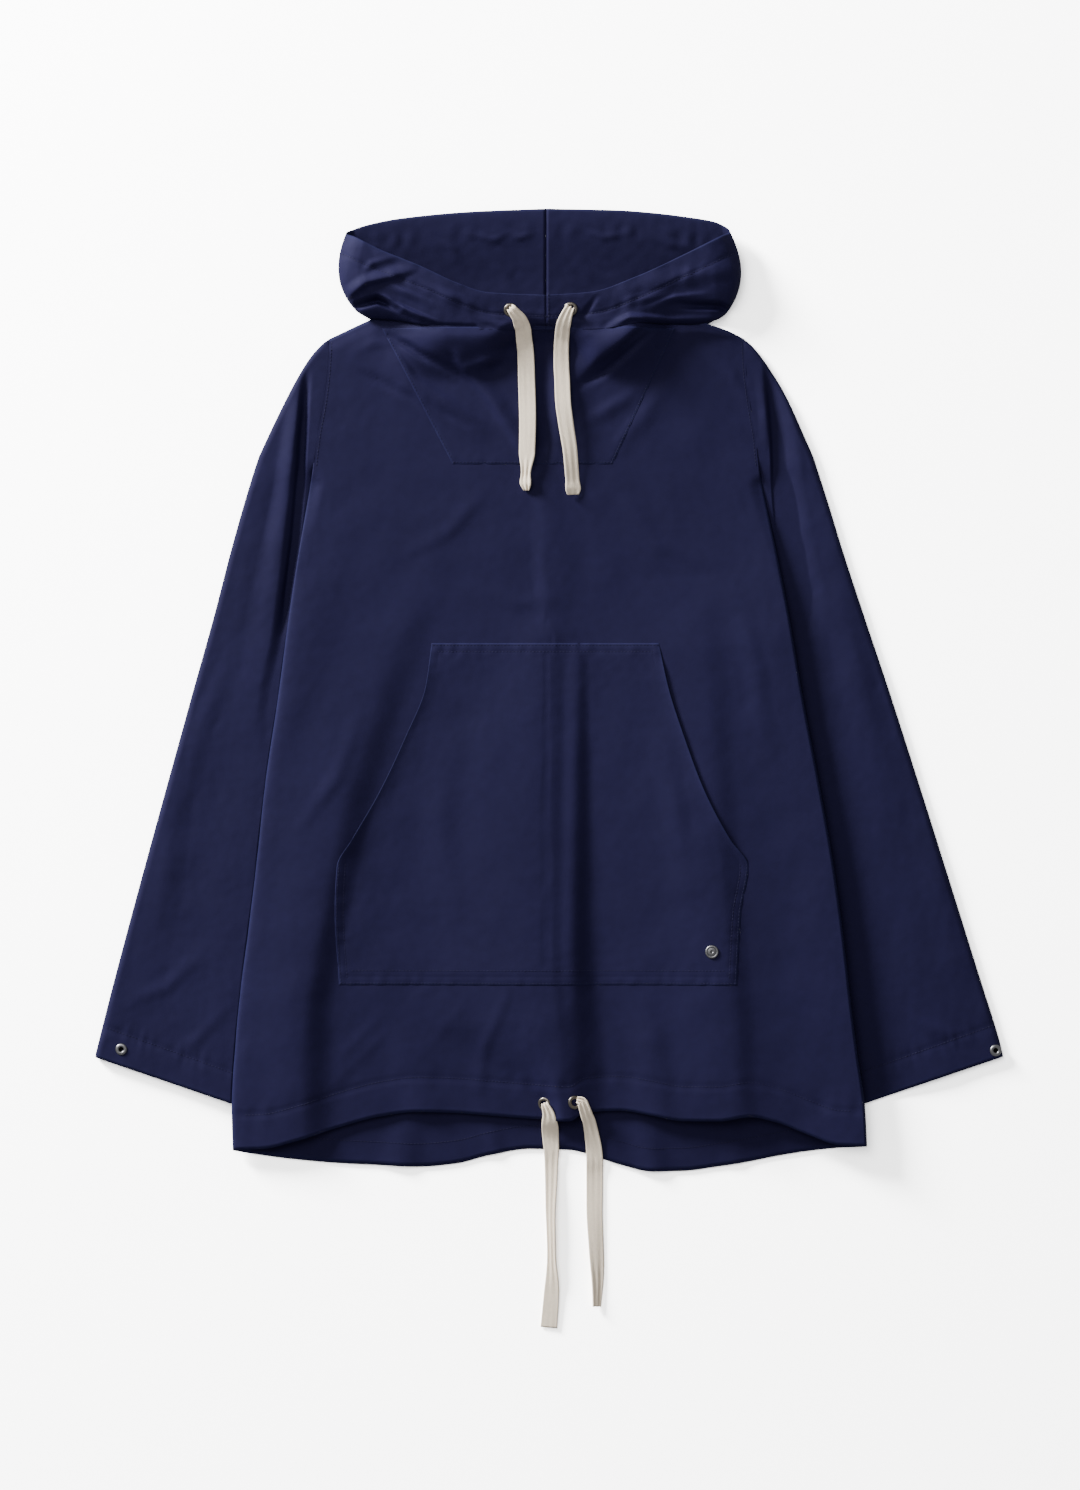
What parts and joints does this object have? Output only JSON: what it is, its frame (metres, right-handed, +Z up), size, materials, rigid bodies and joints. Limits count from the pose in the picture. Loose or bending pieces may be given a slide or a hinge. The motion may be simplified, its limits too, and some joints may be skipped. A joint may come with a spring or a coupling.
{
  "type": "anorak pullover, laid flat",
  "caption": "Hooded cotton anorak pullover laid flat on its back, with a kangaroo pocket, flat drawtapes at hood and hem, and cuff snaps.",
  "frame": {"origin": "on the surface it lies on, below the middle of the garment's outline without the hem tapes", "axes": "+X across the body towards the viewer's right (the wearer's left sleeve), +Y from the hem towards the hood, +Z up from the surface"},
  "size_m": [0.8638, 1.0642, 0.03],
  "materials": {
    "cloth": "navy light cotton poplin, matt with a slight sheen",
    "tape": "ecru herringbone cotton tape",
    "eyelet_metal": "antique dark, satin",
    "snap_metal": "satin grey"
  },
  "bodies": {
    "root": {"back": "cloth", "front": "cloth", "neck_inset": "cloth", "pocket": "cloth", "sleeve_left": "cloth", "sleeve_right": "cloth", "hood_left": "cloth", "hood_right": "cloth", "tape_hood_left": "tape", "tape_hood_right": "tape", "tape_hem_left": "tape", "tape_hem_right": "tape", "eyelet_hood_left": "eyelet_metal", "eyelet_hood_right": "eyelet_metal", "eyelet_hem_left": "eyelet_metal", "eyelet_hem_right": "eyelet_metal", "pocket_stud": "snap_metal", "snap_cuff_left": "snap_metal", "snap_cuff_right": "snap_metal"}
  },
  "joints": []
}
